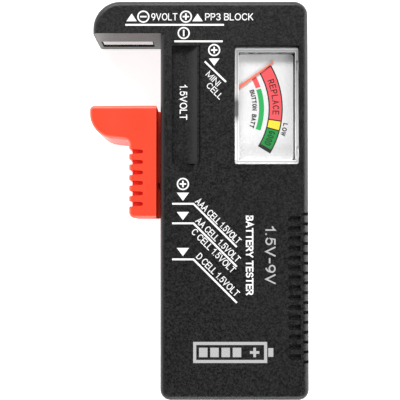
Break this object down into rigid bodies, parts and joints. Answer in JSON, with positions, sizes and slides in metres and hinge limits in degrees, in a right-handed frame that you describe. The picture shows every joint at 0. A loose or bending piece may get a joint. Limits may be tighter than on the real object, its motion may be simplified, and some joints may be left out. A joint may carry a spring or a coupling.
{
  "type": "battery tester",
  "caption": "Hand-held battery tester with a fixed jaw, a sliding contact arm on its left and a moving-coil meter behind a clear window.",
  "frame": {"origin": "centre of the bounding box footprint on the back face that the tester lies on", "axes": "+Z out of the front face with the meter, +Y towards the fixed jaw end, +X towards the ribbed grip edge"},
  "size_m": [0.061, 0.1112, 0.025],
  "materials": {
    "case_black": "fine spark texture, matte",
    "tray_black": "matte",
    "slider_orange": "satin",
    "screw_steel": "zinc plated",
    "contact_metal": "nickel plated, bright",
    "spring_brass": "bright",
    "clear_cover": "clear polystyrene, polished",
    "dial_white": "printed card",
    "needle_red": "painted",
    "solder_bead": "soft solder",
    "bobbin_metal": "thin sheet",
    "copper_wire": "enamelled copper",
    "pivot_steel": "polished",
    "spring_bronze": "phosphor bronze",
    "magnet_grey": "ground",
    "yoke_iron": "plated iron",
    "bridge_metal": "stamped",
    "resistor_body": "lacquered",
    "wire_red": "PVC",
    "wire_black": "PVC"
  },
  "bodies": {
    "case": {"front_case": "case_black", "back_case": "case_black", "case_screws": "screw_steel", "positive_rail": "contact_metal", "negative_plate": "contact_metal", "nine_volt_negative_contact": "contact_metal", "nine_volt_positive_contact": "contact_metal", "meter_tray": "tray_black", "meter_cover": "clear_cover", "dial_plate": "dial_white", "upper_hairspring": "spring_bronze", "lower_hairspring": "spring_bronze", "core_magnet": "magnet_grey", "core_support": "spring_brass", "yoke_ring": "yoke_iron", "upper_bridge": "bridge_metal", "lower_bridge": "bridge_metal", "upper_jewel": "spring_brass", "lower_jewel": "spring_brass", "zero_adjuster": "bridge_metal", "meter_terminals": "spring_brass", "cell_load_resistor": "resistor_body", "nine_volt_load_resistor": "resistor_body", "cell_wire": "wire_red", "nine_volt_wires": "wire_red", "negative_wire": "wire_black", "negative_bridge_wire": "wire_black"},
    "slider": {"slider_body": "slider_orange", "slider_contact": "contact_metal", "slider_wiper": "spring_brass", "wiper_rivet": "spring_brass"},
    "needle_unit": {"needle": "needle_red", "needle_counterweight": "solder_bead", "coil_bobbin": "bobbin_metal", "coil_winding": "copper_wire", "upper_pivot": "pivot_steel", "lower_pivot": "pivot_steel"}
  },
  "joints": [
    {"name": "slider_slide", "type": "slide", "parent": "case", "child": "slider", "axis": [0, 1, 0], "range_m": [-0.0414, 0.0194]},
    {"name": "needle_swing", "type": "hinge", "parent": "case", "child": "needle_unit", "pos_m": [0.003, 0.0255, 0], "axis": [0, 0, 1], "range_deg": [-75, 0], "stiffness_Nm_per_rad": 0.00001, "deforming": ["upper_hairspring", "lower_hairspring"]}
  ]
}
